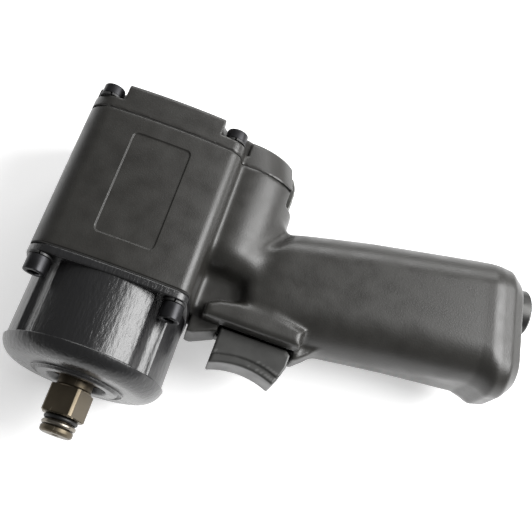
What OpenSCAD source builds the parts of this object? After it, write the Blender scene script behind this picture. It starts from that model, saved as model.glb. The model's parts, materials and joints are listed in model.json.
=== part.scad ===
// Compact pneumatic impact wrench with a half-inch square drive.
// Every part is drawn upright: X forward along the drive, Y to the tool's left, Z up, drive axis
// on Y = Z = 0 and X = 0 on the housing's front face. lay() then puts the tool on its right side.

// Part to show, "all" for the whole tool

/* [Head] */
// Length of the housing's head, front face to rear face
head_len = 58.8; // [54:0.1:64]
// Half-width of the head at the middle of a side, where the side bulges most
head_mid = 30.7; // [29.5:0.1:31]
// Half-width of the head at its corners
head_cor = 28.7; // [27.5:0.1:29.4]
// Height of the head's top above the drive axis, where it bulges most
head_top = 32.8; // [32:0.1:34]
// Radius of the head's two upper long corners
head_round = 8; // [6:0.5:9]
// Radius of the head's two lower long corners
head_round_low = 4; // [3:0.5:5]
// Distance of each housing screw from the drive axis, sideways
screw_y = 24.8; // [24.4:0.1:25.2]
// Height of the two upper housing screws above the drive axis
screw_top = 25.6; // [25:0.1:26]
// Depth of the two lower housing screws under the drive axis
screw_low = 24.6; // [24.2:0.1:25]
// Thickness of the gaskets at both ends of the housing
gasket_t = 0.5; // [0.3:0.1:0.8]
// Total height of the rear cover over its gasket
cover_t = 11.3; // [9:0.1:13]
// Height of the rear cover's flange under the screw heads
cover_flange = 4.4; // [3:0.1:6]

/* [Lobe] */
// Radius of the round lobe under the head that holds the reverse valve
lobe_r = 21.3; // [20:0.1:22]
// Depth of the lobe's centre under the drive axis
lobe_z = 34.5; // [33:0.1:36]
// Depth of the reverse valve's axis under the drive axis
valve_z = 38; // [37:0.1:39]
// Radius of the reverse valve
valve_r = 7.95; // [7:0.05:8.2]

/* [Grip] */
// Angle by which the grip leans back
lean = 8.5; // [7:0.5:10]
// Distance of the grip's flat bottom from the drive axis, along the grip
grip_end = 159; // [155:0.5:165]
// Distance of the air inlet's axis behind the grip's zero line
inlet_u = -25; // [-27:0.5:-23]
// Radius of the air inlet bushing
inlet_r = 9.6; // [9:0.1:10]
// Radius of the quarter-inch threaded hole in the air inlet bushing
thread_r = 5.7; // [5.6:0.1:6.6]
// Length of the thread in the air inlet bushing
thread_len = 12; // [10:0.5:14]

/* [Hammer case] */
// Outer radius of the hammer case's front rim
rim_r = 31.3; // [31:0.1:31.6]
// Outer radius of the hammer case's cast wall
wall_r = 30.2; // [29.6:0.1:30.6]
// Inner radius of the hammer case and of the housing's front bore
case_bore = 26.2; // [26:0.1:26.6]
// Position of the step between the hammer case's wall and its rim
rim_x = 30.9; // [30:0.1:32]
// Position of the hammer case's front shoulder
case_x = 37.4; // [36.5:0.1:38]
// Thickness of the hammer case's flange
flange_t = 3.2; // [2.6:0.1:4]

/* [Drive] */
// Width across flats of the square drive (half an inch)
square = 12.7; // [12.6:0.1:12.8]
// Position of the shoulder where the square drive begins
shoulder_x = 41.6; // [40:0.1:43]
// Length of the full square up to its ring groove
square_len = 10.2; // [9:0.1:12]
// Angle of the square drive about its axis when at rest
square_turn = 23; // [0:1:45]
// Radius of the drive shaft in its bushing
journal_r = 9.9; // [9.5:0.1:10.5]

/* [Motor] */
// Radius of the bore that holds the air motor
motor_bore = 24.05; // [23.9:0.05:24.2]
// Radius of the rotor
rotor_r = 17.2; // [16.8:0.1:17.2]
// Radius of the round hole in the cylinder liner
liner_bore = 19.4; // [19.3:0.05:19.5]
// Distance of the liner's hole from the rotor's axis
liner_shift = 1.9; // [1.7:0.05:1.9]
// Number of vanes in the rotor
vanes = 6; // [5:1:7]

/* [Trigger] */
// Depth of the trigger's axis under the drive axis
trigger_z = 57.5; // [56:0.5:59]
// Length that the trigger slides in
trigger_travel = 6; // [5:0.5:6]
// Half-width of the trigger
trigger_w = 8.2; // [7.5:0.1:8.2]

/* [Hidden] */
$fn = 96;
run = 0.05;
cover_x = -head_len - gasket_t;
cover_end = cover_x - cover_t;
cover_step = cover_x - cover_flange;
flange_x = gasket_t;
flange_end = flange_x + flange_t;
thread_hole = 2.55;
shank_r = 2.5;
cap_r = 4.15;
front_cap = 6;
rear_cap = 3.8;
washer_r = 4.4;
washer_t = 1.3;
groove_x = shoulder_x + square_len;
tip_x = groove_x + 4.4;
tip_end = tip_x + 2.3;
chamber_r = 7.05;
shaft_r = 5;
rear_plate_x = -head_len + 0.2;
liner_x = -50.1;
liner_len = 30;
front_plate_x = liner_x + liner_len + 0.1;
cage_r = 25.6;
cage_x = -12.8;
pin_z = 20.9;
pin_r = 2.6;
lever_x = cover_x - 0.7;
lever_len = 7.3;
neck_x = 36;
detent_y = 9.8;
paddle_in = 13.4;
paddle_out = 16.5;
inlet_top = 141;
inlet_end = grip_end + 6.5;

// The lower bound of a span from a to b, mirrored when s is negative
function low(s, a, b) = s > 0 ? a : -b;

// Frame helpers ---------------------------------------------------------------------------------

// Lays the upright tool on its right side with the origin at the square drive's shoulder
module lay() {
    translate([-shoulder_x, 0, 0])
        rotate([90, 0, 0])
            children();
}

// A rod along X from x0 to x1
module rod(r, x0, x1, y = 0, z = 0) {
    translate([x0, y, z])
        rotate([0, 90, 0])
            cylinder(r = r, h = x1 - x0);
}

// A round profile turned about X: the profile's x is the radius, its y runs along X
module turned(y = 0, z = 0) {
    translate([0, y, z])
        rotate([0, 90, 0])
            rotate_extrude()
                children();
}

// A flat profile in Y and Z, pushed along X from x0 to x1
module pushed(x0, x1) {
    translate([x0, 0, 0])
        rotate([90, 0, 90])
            linear_extrude(height = x1 - x0)
                children();
}

// A side profile in X and Z, pushed along Y by half-width w each way
module sideways(w) {
    translate([0, w, 0])
        rotate([90, 0, 0])
            linear_extrude(height = 2 * w)
                children();
}

// The four housing screws' places
module at_screws() {
    for (sy = [-1, 1]) {
        for (z = [-screw_low, screw_top]) {
            translate([0, sy * screw_y, z])
                children();
        }
    }
}

// The grip's own frame: X across the grip, Z up along it
module in_grip() {
    rotate([0, lean, 0])
        children();
}

// A rod along the grip, between two distances from the drive axis
module grip_rod(r, w0, w1, u = 0, y = 0) {
    in_grip()
        translate([u, y, -w1])
            cylinder(r = r, h = w1 - w0);
}

// One thin cross-section of the grip, a rounded rectangle
module grip_slice(u0, u1, half, r, w) {
    for (u = [u0 + r, u1 - r]) {
        for (y = [-half + r, half - r]) {
            translate([u, y, -w - 0.05])
                cylinder(r = r, h = 0.1, $fn = 40);
        }
    }
}

// The exhaust deflector's outline, a rounded oblong, grown by a little for its seat
module plate_form(grow, w0, w1) {
    u0 = -33 - grow;
    u1 = 7.2 + grow;
    half = 12.8 + grow;
    r = 8 + grow;
    in_grip() {
        translate([u0 + r, -half, -w1])
            cube([u1 - u0 - 2 * r, 2 * half, w1 - w0]);
        translate([u0, -half + r, -w1])
            cube([u1 - u0, 2 * (half - r), w1 - w0]);
        for (u = [u0 + r, u1 - r]) {
            for (y = [-half + r, half - r]) {
                translate([u, y, -w1])
                    cylinder(r = r, h = w1 - w0);
            }
        }
    }
}

// Profiles --------------------------------------------------------------------------------------

// The head's outline: four sides that bulge and four corner arcs that meet them, nearly smoothly
module head_outline(inset = 0) {
    mid = head_mid - inset;
    top = head_top - inset;
    cor = head_cor - inset;
    bow = (cor * cor + (mid - cor) * (mid - cor)) / (2 * (mid - cor));
    up_y = mid - head_round - 24.3 * 24.3 / (2 * bow);
    up_z = top - head_round - up_y * up_y / (2 * bow);
    low_y = mid - head_round_low - 25 * 25 / (2 * bow);
    low_z = mid - head_round_low - low_y * low_y / (2 * bow);
    intersection() {
        union() {
            translate([-40, -low_z])
                square([80, low_z + up_z]);
            translate([-up_y, 0])
                square([2 * up_y, 80]);
            translate([-low_y, -80])
                square([2 * low_y, 80]);
            for (s = [-1, 1]) {
                translate([s * up_y, up_z])
                    circle(r = head_round);
                translate([s * low_y, -low_z])
                    circle(r = head_round_low);
            }
        }
        translate([mid - bow, 0])
            circle(r = bow, $fn = 360);
        translate([bow - mid, 0])
            circle(r = bow, $fn = 360);
        translate([0, bow - mid])
            circle(r = bow, $fn = 360);
        translate([0, top - bow])
            circle(r = bow, $fn = 360);
    }
}

// The space under the lobe in which the reverse lever's paddle swings
module paddle_space() {
    intersection() {
        difference() {
            rod(30, cover_end - 1, -53, 0, -valve_z);
            rod(13, cover_end - 2, -52, 0, -valve_z);
        }
        pushed(cover_end - 2, -52)
            polygon([[0, -valve_z], [-30, -valve_z - 34], [30, -valve_z - 34]]);
    }
}

// Castings --------------------------------------------------------------------------------------

// The grip's outer form, from under the head to the flared base
module grip_form() {
    in_grip() {
        hull() {
            grip_slice(-31.5, 8.6, 14.8, 11, 47);
            grip_slice(-35.2, 10, 17.4, 13, 60);
        }
        hull() {
            grip_slice(-35.2, 10, 17.4, 13, 60);
            grip_slice(-38.3, 10.3, 19, 14, 95);
        }
        hull() {
            grip_slice(-38.3, 10.3, 19, 14, 95);
            grip_slice(-40, 10.9, 20.4, 14, 141);
        }
        hull() {
            grip_slice(-40, 10.9, 20.4, 14, 141);
            grip_slice(-40.5, 14.8, 21.4, 14, 148.5);
        }
        hull() {
            grip_slice(-40.5, 14.8, 21.4, 14, 148.5);
            grip_slice(-39.6, 14.2, 20, 13, 154);
            grip_slice(-35, 9.4, 15, 10, grip_end);
        }
    }
}

// The neck between the lobe and the grip, with the trigger's collar, hood and lower lip
module neck_form() {
    sideways(12.9)
        polygon([[-45, -26], [0, -26], [0, -70], [-42.5, -61], [-44.5, -55]]);
    sideways(14.4)
        polygon([[-9.2, -46], [-6, -39.5], [-3.5, -35.2], [1.5, -35.2], [1.5, -73.6],
            [-7.6, -73.6], [-9.2, -60]]);
    difference() {
        sideways(8)
            polygon([[-6, -31.4], [8.6, -31.4], [7.4, -34], [7.2, -42.6], [-6, -42.6]]);
        pushed(flange_x - 0.3, flange_end + 0.4)
            head_outline(-0.4);
    }
    sideways(7)
        polygon([[-4, -72.8], [3.8, -72.8], [4.4, -73.8], [3, -75.6], [0, -79], [-4, -82]]);
}

// Everything hollow inside the housing
module housing_hollows() {
    // The motor's bore and the hammer's bore
    rod(motor_bore, -head_len - 1, -13.9);
    rod(case_bore, -14, 1);
    // Threaded screw holes at both ends
    at_screws() {
        rod(thread_hole, -17, 1);
        rod(thread_hole, -head_len - 1, -head_len + 17);
    }
    // The reverse valve's bore and the two ports up to the motor
    rod(8, -head_len - 1, -21.5, 0, -valve_z);
    for (x = [-44, -36]) {
        translate([x, 0, -valve_z])
            cylinder(r = 2.6, h = 16);
    }
    // The detent's hole
    rod(1.7, -head_len - 1, -49.8, detent_y, -valve_z);
    // The throttle's chamber, its port to the valve, and the trigger's pocket
    rod(chamber_r, -34, 0, 0, -trigger_z);
    translate([-24, 0, -trigger_z])
        cylinder(r = 3.5, h = 18);
    translate([-5.2, -8.6, -72.3])
        cube([12, 17.2, 29.6]);
    // Air passage up the grip, the inlet bushing's socket, and the two exhaust passages
    grip_rod(7, 61, inlet_top + 1, inlet_u);
    grip_rod(inlet_r + run, inlet_top, grip_end + 5, inlet_u);
    for (y = [-10.2, 10.2]) {
        grip_rod(2.2, 15, 136, -1.8, y);
    }
    // The exhaust chamber and the deflector's seat
    in_grip()
        translate([-11.5, -13.2, -157.5])
            cube([19.5, 26.4, 23.5]);
    plate_form(0.2, grip_end - 2.1, grip_end + 3);
    for (y = [-8, 8]) {
        grip_rod(1.05, 147, grip_end, -12.9, y);
    }
    // The dowel's half-hole beside the motor
    rod(1.55, -head_len - 1, -40, 0, motor_bore + 0.1);
}

// One-piece cast housing: head, lobe, neck and grip
module motor_housing() {
    color("#45443f")
        lay()
            difference() {
                union() {
                    pushed(-head_len, 0)
                        head_outline();
                    rod(lobe_r, -head_len, -27, 0, -lobe_z);
                    turned(0, -lobe_z) {
                        translate([0, -27.1])
                            square([lobe_r - 7, 7]);
                        intersection() {
                            translate([lobe_r - 7, -27.1])
                                circle(r = 7);
                            square([60, 200], center = true);
                        }
                    }
                    grip_form();
                    neck_form();
                }
                // Nothing but the hood stands in front of the trigger's collar
                for (sy = [-1, 1]) {
                    translate([1.5, low(sy, 8.05, 30), -72.8])
                        cube([20, 21.95, 41.9]);
                }
                translate([1.5, -15, -72.8])
                    cube([20, 30, 30.2]);
                housing_hollows();
                paddle_space();
                // Shallow plain panels on both sides of the head
                for (side = [-1, 1]) {
                    translate([-51.8, side * 33.1 - 3, -11])
                        cube([42, 6, 22.5]);
                }
            }
}

// Forged front case round the hammers, with a rim and a round shoulder
module hammer_case() {
    color("#2f2f30")
        lay()
            difference() {
                union() {
                    pushed(flange_x, flange_end)
                        head_outline();
                    rod(wall_r, flange_x, rim_x + 0.5);
                    turned() {
                        translate([0, rim_x])
                            square([rim_r - 8, case_x - rim_x]);
                        intersection() {
                            translate([rim_r - 8, case_x - 8])
                                circle(r = 8);
                            translate([0, rim_x])
                                square([60, 20]);
                        }
                        translate([0, case_x - 1])
                            square([18, 1.6]);
                        translate([0, case_x - 1])
                            square([15.6, 2.2]);
                    }
                }
                rod(case_bore, flange_x - 1, 22.6);
                rod(13.45, 22, neck_x + 0.3);
                rod(11, 30, 42);
                turned()
                    translate([16.8, case_x + 0.6])
                        circle(r = 0.9);
                at_screws() {
                    rod(shank_r + run, flange_x - 1, 24);
                    rod(6.9, flange_end, rim_x);
                }
            }
}

// Cover over the rear of the motor and the reverse valve
module rear_cover() {
    color("#4b4a45")
        lay()
            difference() {
                union() {
                    pushed(cover_end, cover_x)
                        head_outline();
                    intersection() {
                        translate([cover_x, 0, -lobe_z])
                            rotate([0, -90 + 15, 0])
                                translate([0, 0, -8])
                                    cylinder(r1 = lobe_r + 0.9, r2 = 19.2, h = 24);
                        translate([cover_end, -40, -70])
                            cube([cover_t, 80, 90]);
                    }
                }
                // Room over the screw heads
                at_screws()
                    rod(5.6, cover_end - 1, cover_step);
                for (sy = [-1, 1]) {
                    translate([cover_end - 1, low(sy, screw_y, 50), screw_top - 5.6])
                        cube([cover_t - cover_flange + 1, 50 - screw_y, 30]);
                    translate([cover_end - 1, low(sy, screw_y - 5.6, 50), screw_top])
                        cube([cover_t - cover_flange + 1, 55.6 - screw_y, 30]);
                    translate([cover_end - 1, low(sy, screw_y, 50), -screw_low - 6.5])
                        cube([cover_t - cover_flange + 1, 50 - screw_y, 12.1]);
                    translate([cover_end - 1, low(sy, screw_y - 5.6, 50), -screw_low - 6.5])
                        cube([cover_t - cover_flange + 1, 55.6 - screw_y, 6.5]);
                }
                at_screws()
                    rod(shank_r + run, cover_end - 1, cover_x + 1);
                // Space behind the rear bearing and round the reverse lever
                rod(18.5, cover_x - 5, cover_x + 1);
                rod(12.4, lever_x - lever_len - 0.4, cover_x + 1, 0, -valve_z);
                intersection() {
                    rod(15, lever_x - lever_len - 0.4, cover_x + 1, 0, -valve_z);
                    pushed(cover_end, cover_x + 1)
                        polygon([[0, -valve_z], [-22, -valve_z - 26], [22, -valve_z - 26]]);
                }
                paddle_space();
            }
}

// Flat gaskets ----------------------------------------------------------------------------------

module front_gasket() {
    color("#26241f")
        lay()
            difference() {
                pushed(0, gasket_t)
                    head_outline(0.3);
                rod(case_bore, -1, 2);
                at_screws()
                    rod(shank_r + run, -1, 2);
            }
}

module rear_gasket() {
    color("#26241f")
        lay()
            difference() {
                union() {
                    pushed(cover_x, -head_len)
                        head_outline(0.3);
                    rod(lobe_r - 0.3, cover_x, -head_len, 0, -lobe_z);
                }
                rod(18.5, cover_x - 1, -head_len + 1);
                rod(10, cover_x - 1, -head_len + 1, 0, -valve_z);
                rod(1.8, cover_x - 1, -head_len + 1, detent_y, -valve_z);
                rod(2.2, cover_x - 1, -head_len + 1, 0, motor_bore + 0.1);
                at_screws()
                    rod(shank_r + run, cover_x - 1, -head_len + 1);
                paddle_space();
            }
}

// Fasteners -------------------------------------------------------------------------------------

// One socket cap screw along +X: its head's underside at X = 0, its shank towards -X
module cap_screw(shank, head) {
    difference() {
        union() {
            rod(shank_r, -shank, 0.1);
            rod(cap_r, 0, head);
        }
        translate([head - 2.6, 0, 0])
            rotate([0, 90, 0])
                cylinder(r = 2.3, h = 4, $fn = 6);
    }
}

// One split spring washer along +X from X = 0
module split_washer() {
    difference() {
        rod(washer_r, 0, washer_t);
        rod(shank_r + 0.15, -1, washer_t + 1);
        translate([-1, 1, -0.4])
            rotate([12, 0, 0])
                cube([washer_t + 2, 6, 0.8]);
    }
}

module front_screws() {
    color("#2b2b2d")
        lay()
            translate([flange_end + washer_t, 0, 0])
                at_screws()
                    cap_screw(19, front_cap);
}

module front_lock_washers() {
    color("#38383a")
        lay()
            translate([flange_end, 0, 0])
                at_screws()
                    split_washer();
}

module rear_screws() {
    color("#2b2b2d")
        lay()
            translate([cover_step - washer_t, 0, 0])
                mirror([1, 0, 0])
                    at_screws()
                        cap_screw(21, rear_cap);
}

module rear_lock_washers() {
    color("#38383a")
        lay()
            translate([cover_step, 0, 0])
                mirror([1, 0, 0])
                    at_screws()
                        split_washer();
}

// Drive shaft and hammers -----------------------------------------------------------------------

// Square drive, drive shaft and the jaws that the hammers strike
module anvil() {
    color("#6a6353")
        lay()
            difference() {
                union() {
                    rod(10, -6.5, 18.4);
                    intersection() {
                        rod(13.4, -6.5, 17.6);
                        translate([-7, -20, -4.4])
                            cube([40, 40, 8.8]);
                    }
                    rod(journal_r, 18.3, neck_x);
                    rod(6.6, neck_x - 0.1, shoulder_x + 0.1);
                    intersection() {
                        rotate([square_turn, 0, 0])
                            translate([shoulder_x, -square / 2, -square / 2])
                                cube([square_len, square, square]);
                        rod(8.35, shoulder_x - 1, groove_x + 1);
                    }
                    rod(4.6, groove_x - 1, tip_x + 0.1);
                    rod(6.2, tip_x, tip_end - 0.7);
                    translate([tip_end - 0.7, 0, 0])
                        rotate([0, 90, 0])
                            cylinder(r1 = 6.2, r2 = 5.5, h = 0.7);
                }
                rod(1.3, tip_end - 3, tip_end + 1);
            }
}

module socket_o_ring() {
    color("#141414")
        lay()
            turned()
                translate([5.55, groove_x + 1])
                    circle(r = 0.9, $fn = 32);
}

// Split spring ring that holds a socket on the square
module socket_retainer_ring() {
    color("#8a8377")
        lay()
            difference() {
                rod(6.5, groove_x + 2.1, groove_x + 4.1);
                rod(4.65, groove_x, groove_x + 6);
                translate([groove_x, -0.6, 3])
                    cube([6, 1.2, 5]);
            }
}

module anvil_bushing() {
    color("#8a6a3a")
        lay()
            difference() {
                rod(13.4, 23.1, neck_x);
                rod(journal_r + run, 20, 42);
            }
}

// Cage that carries the hammers round, driven by the rotor's hexagon
module hammer_cage() {
    color("#55524b")
        lay()
            difference() {
                union() {
                    rod(cage_r, cage_x, cage_x + 5);
                    rod(cage_r, 18, 22);
                    intersection() {
                        rod(cage_r, cage_x, 22);
                        translate([cage_x, -30, -8])
                            cube([30, 60, 16]);
                    }
                }
                intersection() {
                    rod(23.4, cage_x + 5, 18);
                    translate([cage_x, -23.4, -30])
                        cube([40, 46.8, 60]);
                }
                rod(14.2, 10, 30);
                translate([cage_x - 1, 0, 0])
                    rotate([0, 90, 0])
                        cylinder(r = shaft_r + 0.1, h = 10, $fn = 6);
                for (s = [-1, 1]) {
                    rod(pin_r + run, cage_x - 1, 24, 0, s * pin_z);
                }
            }
}

module hammer_pins() {
    color("#77746c")
        lay()
            for (s = [-1, 1]) {
                rod(pin_r, cage_x + 0.3, 21.7, 0, s * pin_z);
            }
}

// One ring-shaped hammer that rocks on the pin at the top; its lugs meet the anvil's jaws
module hammer_ring(x0, x1) {
    difference() {
        union() {
            rod(21.2, x0, x1);
            rod(4.3, x0, x1, 0, pin_z);
        }
        difference() {
            rod(15.4, x0 - 1, x1 + 1);
            translate([x0 - 2, 4, 11.8])
                cube([x1 - x0 + 4, 4, 6]);
            translate([x0 - 2, -8, -17.8])
                cube([x1 - x0 + 4, 4, 6]);
        }
        rod(pin_r + run, x0 - 1, x1 + 1, 0, pin_z);
        rod(5, x0 - 1, x1 + 1, 0, -pin_z);
    }
}

module rear_hammer() {
    color("#625e55")
        lay()
            hammer_ring(-7.4, 4.9);
}

module front_hammer() {
    color("#625e55")
        lay()
            rotate([180, 0, 0])
                hammer_ring(5.3, 17.6);
}

// Air motor -------------------------------------------------------------------------------------

module rotor() {
    color("#8d8c88")
        lay()
            difference() {
                union() {
                    rod(rotor_r, liner_x + 0.2, liner_x + liner_len - 0.2);
                    rod(shaft_r, -58, -12.9);
                    translate([-13, 0, 0])
                        rotate([0, 90, 0])
                            cylinder(r = shaft_r, h = 5, $fn = 6);
                }
                for (k = [0 : vanes - 1]) {
                    rotate([k * 360 / vanes, 0, 0])
                        translate([liner_x - 1, -0.9, 7])
                            cube([liner_len + 2, 1.8, 20]);
                }
            }
}

module rotor_vanes() {
    color("#7a5a34")
        lay()
            for (k = [0 : vanes - 1]) {
                rotate([k * 360 / vanes, 0, 0])
                    translate([liner_x + 0.25, -0.85, 7.6])
                        cube([liner_len - 0.5, 1.7, 9.6]);
            }
}

module cylinder_liner() {
    color("#9a9994")
        lay()
            difference() {
                rod(motor_bore - run, liner_x, liner_x + liner_len);
                rod(liner_bore, liner_x - 1, liner_x + liner_len + 1, 0, liner_shift);
                for (x = [-44, -36]) {
                    translate([x, 0, -30])
                        cylinder(r = 2.4, h = 16);
                }
                for (y = [-1, 1]) {
                    for (x = [-40, -34, -28]) {
                        translate([x, y * 24, 0])
                            rotate([90, 0, 0])
                                cylinder(r = 1.6, h = 14, center = true);
                    }
                }
                rod(1.55, liner_x - 1, -40, 0, motor_bore + 0.1);
            }
}

module end_plate(x0, x1, p0, p1) {
    difference() {
        rod(motor_bore - run, x0, x1);
        rod(6.6, x0 - 1, x1 + 1);
        rod(11 + run, p0, p1);
    }
}

module rear_end_plate() {
    color("#8f8f8c")
        lay()
            difference() {
                end_plate(rear_plate_x, liner_x - 0.1, rear_plate_x - 1, -51.6);
                rod(1.55, -70, -40, 0, motor_bore + 0.1);
            }
}

module front_end_plate() {
    color("#8f8f8c")
        lay()
            end_plate(front_plate_x, -13.3, -19.1, -12);
}

module ball_bearing(x0, x1) {
    difference() {
        rod(11, x0, x1);
        rod(shaft_r + run, x0 - 1, x1 + 1);
        turned() {
            translate([7.2, x0 - 1])
                square([1.7, 1.6]);
            translate([7.2, x1 - 0.6])
                square([1.7, 1.6]);
        }
    }
}

module rear_bearing() {
    color("#a5a5a3")
        lay()
            ball_bearing(-58.4, -51.7);
}

module front_bearing() {
    color("#a5a5a3")
        lay()
            ball_bearing(-19, -13.5);
}

// Pin that keeps the liner from turning in the housing
module dowel_pin() {
    color("#9c9c9a")
        lay()
            rod(1.5, -58.7, -40.2, 0, motor_bore + 0.1);
}

// Reverse valve ---------------------------------------------------------------------------------

module reverse_valve() {
    color("#8b8a86")
        lay()
            difference() {
                union() {
                    rod(valve_r, -58.6, -22, 0, -valve_z);
                    rod(3, lever_x - 5, -58, 0, -valve_z);
                }
                for (x = [-44, -36]) {
                    translate([x, -10, -valve_z + 3])
                        cube([5, 20, 6], center = false);
                }
                rod(5, -30, -20, 0, -valve_z);
                translate([-26.5, 0, -valve_z])
                    cylinder(r = 2.4, h = 20, center = true);
                rod(1.25, lever_x - 6, -56, 0, -valve_z);
            }
}

// Thumb lever of the reverse valve: a hub in the rear cover and a paddle under the lobe
module reverse_lever() {
    color("#6e6e6b")
        lay()
            difference() {
                union() {
                    rod(11.9, lever_x - lever_len, lever_x, 0, -valve_z);
                    intersection() {
                        rod(14.5, lever_x - lever_len, lever_x, 0, -valve_z);
                        translate([cover_end, -3, -valve_z - 20])
                            cube([20, 6, 20]);
                    }
                    intersection() {
                        difference() {
                            rod(paddle_out, cover_end + 0.4, -54, 0, -valve_z);
                            rod(paddle_in, cover_end - 1, -50, 0, -valve_z);
                        }
                        // Rounded towards both ends
                        translate([-60, 0, -valve_z + 2])
                            rotate([90, 0, 0])
                                cylinder(r = paddle_out + 2, h = 60, center = true, $fn = 240);
                        pushed(cover_end - 1, -50)
                            polygon([[0, -valve_z], [-5.8, -valve_z - 25], [5.8, -valve_z - 25]]);
                    }
                }
                rod(3 + run, lever_x - lever_len - 1, lever_x + 1, 0, -valve_z);
                rod(4.6, lever_x - lever_len - 1, lever_x - 5.6, 0, -valve_z);
                // Ring groove that the detent ball runs in
                turned(0, -valve_z)
                    translate([detent_y, lever_x])
                        circle(r = 1.8, $fn = 48);
                // Thumb grooves
                for (x = [-66.6, -63.9, -61.2, -58.5, -55.8]) {
                    translate([x, 0, -valve_z - paddle_out - 0.4])
                        rotate([90, 0, 0])
                            cylinder(r = 1.05, h = 20, center = true, $fn = 32);
                }
            }
}

module lever_screw() {
    color("#333335")
        lay()
            difference() {
                union() {
                    rod(4.3, lever_x - 7.2, lever_x - 5.65, 0, -valve_z);
                    rod(1.2, lever_x - 5.7, -57, 0, -valve_z);
                }
                translate([lever_x - 8, -5, -valve_z - 0.5])
                    cube([1.6, 10, 1]);
            }
}

module detent_ball() {
    color("#b5b5b2")
        lay()
            translate([-59.5, detent_y, -valve_z])
                sphere(r = 1.5);
}

// Close-wound springs are drawn as separate turns
module spring_turns(big, wire, x0, x1, turns, y = 0, z = 0) {
    for (k = [0 : turns - 1]) {
        turned(y, z)
            translate([big, x0 + wire + k * (x1 - x0 - 2 * wire) / (turns - 1)])
                circle(r = wire, $fn = 24);
    }
}

module detent_spring() {
    color("#8f8f8c")
        lay()
            spring_turns(1.1, 0.25, -57.9, -49.9, 7, detent_y, -valve_z);
}

// Trigger and throttle --------------------------------------------------------------------------

// Trigger with a hollowed finger face
module trigger() {
    color("#3d3d3b")
        lay()
            difference() {
                intersection() {
                    sideways(trigger_w)
                        difference() {
                            polygon([[2, -43.6], [15.4, -43.2], [16.8, -44], [16.8, -67.8], [15.8, -69.2],
                                [14, -69.8], [10.6, -71.6], [3.4, -71.8], [2, -70]]);
                            translate([46, -55.7])
                                circle(r = 32.4, $fn = 240);
                        }
                    // Rounded front edges
                    union() {
                        translate([0, -trigger_w, -80])
                            cube([11.2, 2 * trigger_w, 40]);
                        translate([0, -trigger_w + 6, -80])
                            cube([20, 2 * trigger_w - 12, 40]);
                        for (s = [-1, 1]) {
                            translate([11.2, s * (trigger_w - 6), -80])
                                cylinder(r = 6, h = 40);
                        }
                    }
                }
                rod(2.5 + run, 0, 9.6, 0, -trigger_z);
                translate([6, 0, -trigger_z])
                    rotate([90, 0, 0])
                        cylinder(r = 1.25, h = 15.6, center = true);
            }
}

module trigger_rod() {
    color("#9c9c9a")
        lay()
            difference() {
                rod(2.5, -13.6, 9.4, 0, -trigger_z);
                translate([6, 0, -trigger_z])
                    rotate([90, 0, 0])
                        cylinder(r = 1.25, h = 15, center = true);
            }
}

module trigger_pin() {
    color("#9c9c9a")
        lay()
            translate([6, 0, -trigger_z])
                rotate([90, 0, 0])
                    cylinder(r = 1.2, h = 15.2, center = true);
}

module throttle_bushing() {
    color("#b08d4c")
        lay()
            difference() {
                rod(chamber_r - run, -12.6, -5.4, 0, -trigger_z);
                rod(2.5 + run, -14, 0, 0, -trigger_z);
                turned(0, -trigger_z)
                    translate([7.2, -9])
                        circle(r = 1, $fn = 32);
            }
}

module throttle_valve() {
    color("#b08d4c")
        lay()
            union() {
                rod(5.4, -16.8, -13.8, 0, -trigger_z);
                rod(2, -22, -16.7, 0, -trigger_z);
            }
}

module throttle_spring() {
    color("#8f8f8c")
        lay()
            spring_turns(3.4, 0.5, -33.9, -23, 6, 0, -trigger_z);
}

// Inlet and exhaust -----------------------------------------------------------------------------

// Air inlet bushing with the quarter-inch threaded hole
module inlet_bushing() {
    color("#565654")
        lay()
            difference() {
                union() {
                    grip_rod(inlet_r, inlet_top + 0.2, inlet_end - 1, inlet_u);
                    in_grip()
                        translate([inlet_u, 0, -inlet_end])
                            cylinder(r1 = inlet_r - 1, r2 = inlet_r, h = 1);
                }
                grip_rod(thread_r, inlet_end - thread_len, inlet_end + 1, inlet_u);
                grip_rod(4.6, inlet_top - 1, inlet_end, inlet_u);
                in_grip()
                    translate([inlet_u, 0, -150])
                        rotate_extrude()
                            translate([7.7, -1])
                                square([4, 2]);
            }
}

module inlet_o_ring() {
    color("#161616")
        lay()
            in_grip()
                translate([inlet_u, 0, -150])
                    rotate_extrude()
                        translate([8.68, 0])
                            circle(r = 0.9, $fn = 32);
}

// Wire screen cup over the air passage
module inlet_screen() {
    color("#b9b5a4")
        lay()
            difference() {
                grip_rod(6.8, 134, inlet_top + 0.1, inlet_u);
                grip_rod(6, 134.8, inlet_top + 2, inlet_u);
                for (a = [0, 90]) {
                    for (k = [-1 : 1]) {
                        in_grip()
                            translate([inlet_u, 0, -137.4 + k * 2.1])
                                rotate([90, 0, a])
                                    cylinder(r = 0.6, h = 20, center = true, $fn = 24);
                    }
                }
            }
}

// Slotted plate that turns the exhaust down and away, seated in the grip's bottom
module exhaust_deflector() {
    color("#2c2c2c")
        lay()
            difference() {
                plate_form(0, grip_end - 2, grip_end - 0.1);
                grip_rod(inlet_r + 0.15, 150, 170, inlet_u);
                in_grip() {
                    for (k = [0 : 2]) {
                        translate([-8.6 + k * 4.6, -9.5, -grip_end - 2])
                            cube([2.2, 19, 6]);
                    }
                }
                for (y = [-8, 8]) {
                    grip_rod(1.2, 150, 170, -12.9, y);
                }
            }
}

module deflector_screws() {
    color("#333335")
        lay()
            for (y = [-8, 8]) {
                grip_rod(1, 148, grip_end + 0.1, -12.9, y);
                grip_rod(2, grip_end, grip_end + 1.2, -12.9, y);
            }
}

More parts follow.
